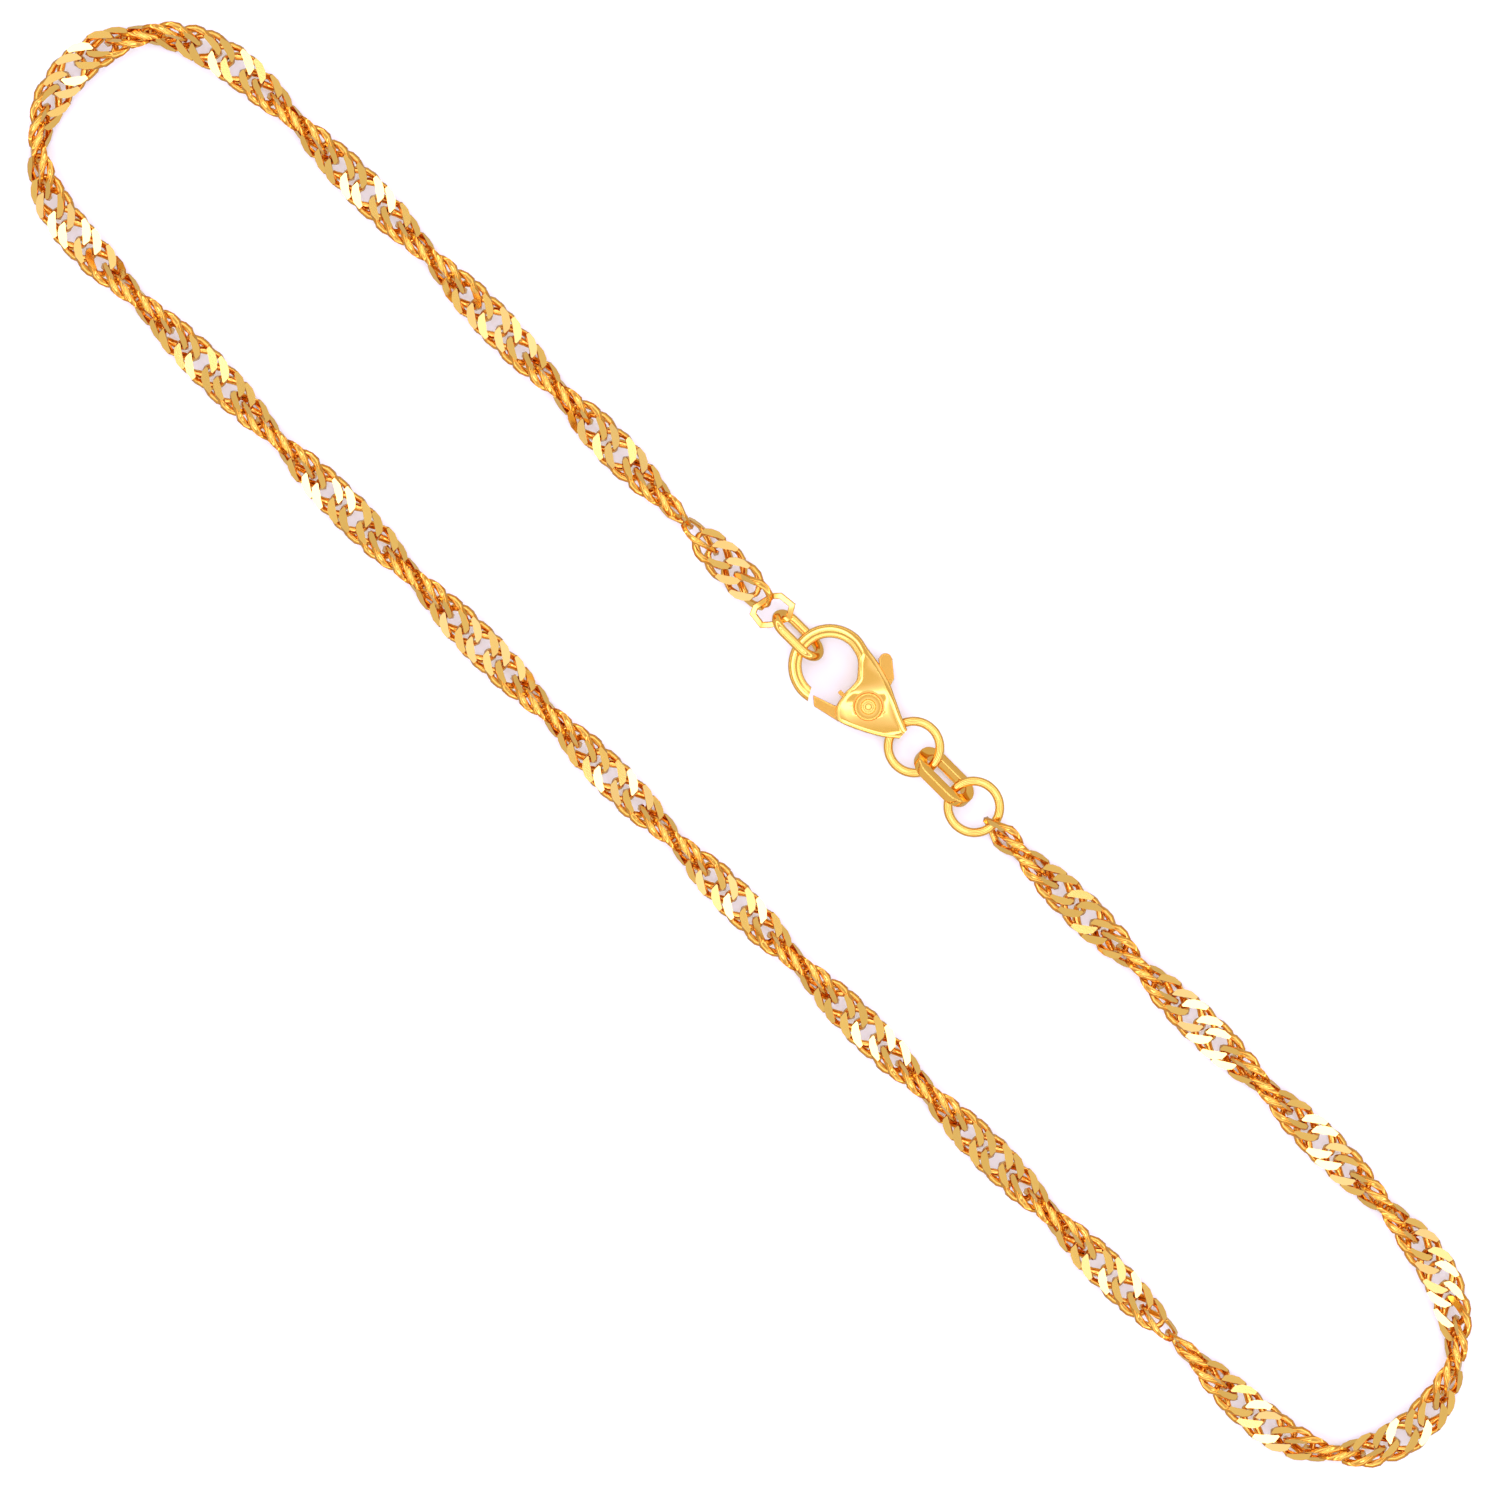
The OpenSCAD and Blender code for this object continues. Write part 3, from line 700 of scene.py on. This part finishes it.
def make_body():
    """The clasp's body with its slot, its two recesses and the ring's hole cut out."""
    sections = body_sections()
    piece = new_piece("clasp_body_cast", sections.reshape(-1, 3),
                      open_grid_faces(*sections.shape[:2]), polished_gold,
                      "clasp_body")
    slot, slot_faces = prism(SLOT_SHAPE * (TIP_REACH, HOOK_OUT_R) + (HOOK_X, HOOK_Y), SLOT_HALF)
    cutters = [new_object("slot", slot + (0, 0, LINE_Z), slot_faces)]
    recess, recess_faces = lathe(RECESS_PROFILE, LATHE_STEPS)
    above = recess + (RIVET_X, RIVET_Y, LINE_Z + RECESS_FLOOR)
    cutters.append(new_object("recess", above, recess_faces))
    below = recess * (1, -1, -1) + (RIVET_X, RIVET_Y, LINE_Z - RECESS_FLOOR)
    cutters.append(new_object("recess_below", below, recess_faces))
    path, out = oval_path(RING_D - RING_WIRE, RING_D - RING_WIRE, RING_STEPS)
    hole = sloped(carried_ring(path, out, circle(2 * TIP_HOLE_R, WIRE_STEPS)), RING_TILT,
                  (RING_A_X, FAR_Y, LINE_Z))
    hole_faces = [grid_faces(RING_STEPS, WIRE_STEPS)]
    cutters.append(new_object("tip_hole", hole.reshape(-1, 3), hole_faces))
    cut_out(piece, cutters)
    piece.data.set_sharp_from_angle(angle=math.radians(BODY_SHARP))


make_body()

# The rivet: a head with a rounded rim and a low dome, the same on both faces.
RIVET_PROFILE = [
    (0, 0.3), (0.16, 0.295), (0.3, 0.26), (0.4, 0.2), (0.46, 0.2), (0.53, 0.28), (0.6, 0.325),
    (0.68, 0.325), (0.76, 0.27), (0.82, 0.15), (0.84, 0), (0.84, -0.1), (0.6, -0.1)]


def make_rivet():
    """The head's profile, the shank, and the other head, turned about the rivet's line."""
    head = np.array(RIVET_PROFILE) + (0, RECESS_FLOOR)
    points, faces = lathe(np.vstack([head * (1, -1), head[::-1]]), LATHE_STEPS)
    new_piece("rivet_head", points + (RIVET_X, RIVET_Y, LINE_Z), faces, polished_gold,
              "clasp_rivet")


make_rivet()

# The stamped parts: points nearer than MERGE are one, faces within FLAT_ANGLE are one, and edges
# over EDGE_ANGLE are rounded in EDGE_STEPS. MERGE is in metres, and the angles in degrees.
MERGE = 1e-7
FLAT_ANGLE = 1
EDGE_ANGLE = 40
EDGE_STEPS = 3


def stamped_part(name, node, edge_mm, body):
    """A copy of a node's mesh, merged, its flat faces made whole and its edges rounded."""
    shape = bmesh.new()
    shape.from_mesh(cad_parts[node].data)
    bmesh.ops.remove_doubles(shape, verts=shape.verts, dist=MERGE)
    bmesh.ops.dissolve_limit(shape, angle_limit=math.radians(FLAT_ANGLE), verts=shape.verts,
                             edges=shape.edges)
    mesh = bpy.data.meshes.new(name)
    shape.to_mesh(mesh)
    shape.free()
    mesh.materials.clear()
    mesh.materials.append(satin_gold)
    shade_smooth(mesh)
    mesh.set_sharp_from_angle(angle=math.radians(EDGE_ANGLE))
    piece = bpy.data.objects.new(name, mesh)
    bpy.context.collection.objects.link(piece)
    edge = piece.modifiers.new("rounded_edges", "BEVEL")
    edge.width = edge_mm * MM
    edge.segments = EDGE_STEPS
    edge.use_clamp_overlap = False
    edge.limit_method = "ANGLE"
    edge.angle_limit = math.radians(EDGE_ANGLE)
    flat = piece.modifiers.new("flat_faces", "WEIGHTED_NORMAL")
    flat.keep_sharp = True
    in_place_of(node, piece, body)


stamped_part("lever_plate", "clasp_lever", 0.14, "lever")
stamped_part("spring_wire_end", "spring_end", 0.08, "necklace")


# The floor: white paper, three metres to each side.
FLOOR_HALF = 3.0
PAPER_ROUGHNESS = 0.9
PAPER_SHINE = 0.1
floor_corners = FLOOR_HALF * np.array([(-1, -1, 0), (1, -1, 0), (1, 1, 0), (-1, 1, 0)])
floor_mesh = bpy.data.meshes.new("floor")
floor_mesh.from_pydata(floor_corners.tolist(), [], [(0, 1, 2, 3)])
floor = bpy.data.objects.new("floor", floor_mesh)
bpy.context.collection.objects.link(floor)
paper, tree = new_material("matt_white_paper")
shader = add(tree, "ShaderNodeBsdfPrincipled", Base_Color=linear("#FFFCF4"),
             Roughness=PAPER_ROUGHNESS, Specular_IOR_Level=PAPER_SHINE)
add(tree, "ShaderNodeOutputMaterial", Surface=shader.outputs[0])
floor_mesh.materials.append(paper)
# The tent goes on below the table's edge, so the metal mirrors the tent and not the lit paper.
floor.visible_glossy = False


# The light: a white tent with ring-shaped softboxes, whose radiance is SOFTBOX. Columns: angle
# from straight up in degrees, radiance, and how warm the light is from 0 to 1. Light brighter
# than 1 comes from the softboxes and is COOL.
SOFTBOX = 3.8
TENT = [
    (0, 0.88, 0.2), (4, 0.92, 0.1), (6, 1.0, 0), (7, SOFTBOX, 0), (11, SOFTBOX, 0), (12.5, 2.0, 0),
    (16, 1.3, 0), (20, 0.95, 0.1), (24, 0.88, 0.2), (25, SOFTBOX, 0), (31, SOFTBOX, 0),
    (32, 0.8, 0.3), (43, 0.78, 0.3), (46, 1.2, 0), (51, 1.5, 0), (54, 0.98, 0.1), (59, 0.9, 0.2),
    (60, SOFTBOX, 0), (65, SOFTBOX, 0), (66, 0.86, 0.2), (90, 0.82, 0.3), (110, 0.7, 0.5),
    (180, 0.6, 0.5)]
WARM = np.array([1.0, 0.86, 0.66])
COOL = np.array([0.9, 0.96, 1.4])
# The ramp's colours are radiances over TENT_TOP, so that none is above 1.
TENT_TOP = 7.0

world = bpy.data.worlds.new("studio")
bpy.context.scene.world = world
world.use_nodes = True
tree = world.node_tree
tree.nodes.clear()
view = add(tree, "ShaderNodeTexCoord").outputs["Generated"]
height = add(tree, "ShaderNodeSeparateXYZ", Vector=view).outputs["Z"]
angle = add(tree, "ShaderNodeMath", dict(operation="ARCCOSINE"), _0=height).outputs[0]
share = add(tree, "ShaderNodeMath", dict(operation="DIVIDE"), _0=angle, _1=math.pi).outputs[0]
ramp = add(tree, "ShaderNodeValToRGB", Fac=share)
stops = ramp.color_ramp.elements
while len(stops) < len(TENT):
    stops.new(0.5)
# All positions are set before the colours, in case the ramp puts its stops in a new order.
for stop, (degrees, _, _) in zip(stops, TENT):
    stop.position = degrees / HALF_TURN
for stop, (_, radiance, warmth) in zip(stops, TENT):
    colour = (COOL if radiance > 1 else 1 - warmth + warmth * WARM) * radiance / TENT_TOP
    stop.color = (*colour.tolist(), 1)
dome = add(tree, "ShaderNodeBackground", Color=ramp.outputs["Color"], Strength=TENT_TOP)
add(tree, "ShaderNodeOutputWorld", Surface=dome.outputs[0])
